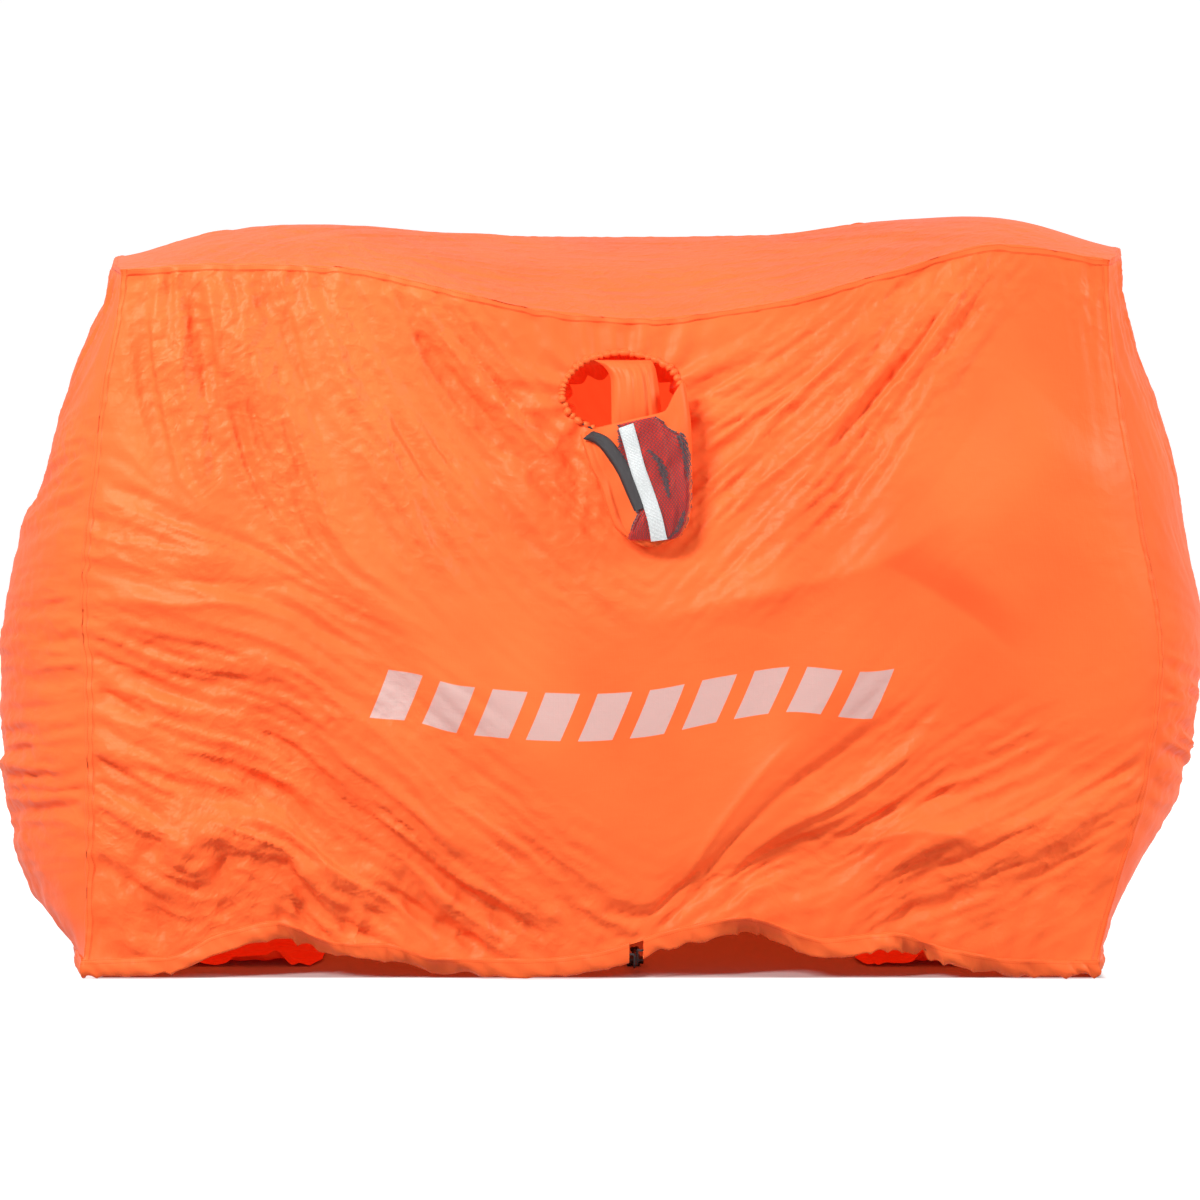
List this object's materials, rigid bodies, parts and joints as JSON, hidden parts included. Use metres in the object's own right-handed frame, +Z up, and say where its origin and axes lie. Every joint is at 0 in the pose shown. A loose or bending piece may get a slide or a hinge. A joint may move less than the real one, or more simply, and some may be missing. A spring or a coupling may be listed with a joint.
{
  "type": "bothy bag",
  "caption": "Sewn two-person emergency group shelter, pitched, with vents, seat flaps, a hem drawcord and a hanging stuff sack.",
  "frame": {"origin": "middle of the shelter's footprint, on the ground", "axes": "+X towards the right end, seen from the front; +Y towards the rear wall; +Z up"},
  "size_m": [1.4054, 0.5379, 0.8679],
  "materials": {
    "orange_nylon": "thin coated ripstop nylon with a soft sheen",
    "seam_tape": "doubled and stitched coated nylon",
    "inner_cloth": "coated nylon, proofed side",
    "red_lining": "matt woven lining",
    "black_mesh": "open knitted mesh",
    "reflective_webbing": "ribbed reflective tape",
    "black_label": "woven label, bare",
    "elastic": "braided elastic",
    "cord": "braided cord",
    "lock_plastic": "moulded, fine texture",
    "spring_steel": "drawn wire"
  },
  "bodies": {
    "root": {"front_panel": "orange_nylon", "rear_panel": "orange_nylon", "roof_panel": "orange_nylon", "left_end_panel": "orange_nylon", "right_end_panel": "orange_nylon", "hem_casing": "orange_nylon", "front_left_seam": "seam_tape", "front_right_seam": "seam_tape", "rear_left_seam": "seam_tape", "rear_right_seam": "seam_tape", "roof_front_seam": "seam_tape", "roof_rear_seam": "seam_tape", "roof_left_seam": "seam_tape", "roof_right_seam": "seam_tape", "front_vent_rim": "seam_tape", "rear_vent_rim": "seam_tape", "front_vent_sleeve": "inner_cloth", "rear_vent_sleeve": "inner_cloth", "left_seat_tab": "inner_cloth", "right_seat_tab": "inner_cloth", "front_vent_elastic": "elastic", "rear_vent_elastic": "elastic", "hem_drawcord": "cord", "left_drawcord_tail": "cord", "right_drawcord_tail": "cord", "drawcord_knot": "cord"},
    "stuff_sack": {"sack_pouch": "red_lining", "sack_neck": "orange_nylon", "sack_mesh": "black_mesh", "sack_webbing": "reflective_webbing", "sack_label": "black_label"},
    "left_seat": {"left_seat": "inner_cloth"},
    "right_seat": {"right_seat": "inner_cloth"},
    "cord_lock": {"cord_lock_barrel": "lock_plastic", "cord_lock_spring": "spring_steel"},
    "cord_lock_button": {"cord_lock_plunger": "lock_plastic"}
  },
  "joints": [
    {"name": "stuff_sack_swing", "type": "hinge", "parent": "root", "child": "stuff_sack", "pos_m": [0.024, -0.2102, 0.69477], "axis": [-1, 0, 0], "range_deg": [0, 80]},
    {"name": "left_seat_fold", "type": "hinge", "parent": "root", "child": "left_seat", "pos_m": [-0.57807, 0, 0.003], "axis": [0, -1, 0], "range_deg": [0, 80]},
    {"name": "right_seat_fold", "type": "hinge", "parent": "root", "child": "right_seat", "pos_m": [0.55292, 0, 0.003], "axis": [0, 1, 0], "range_deg": [0, 80]},
    {"name": "cord_lock_slide", "type": "slide", "parent": "root", "child": "cord_lock", "axis": [0, 1, 0], "range_m": [-0.02, 0.035]},
    {"name": "cord_lock_press", "type": "slide", "parent": "cord_lock", "child": "cord_lock_button", "axis": [-1, 0, 0], "range_m": [0, 0.003], "stiffness_N_per_m": 400, "springref_m": -0.001, "deforming": ["cord_lock_spring"]}
  ]
}
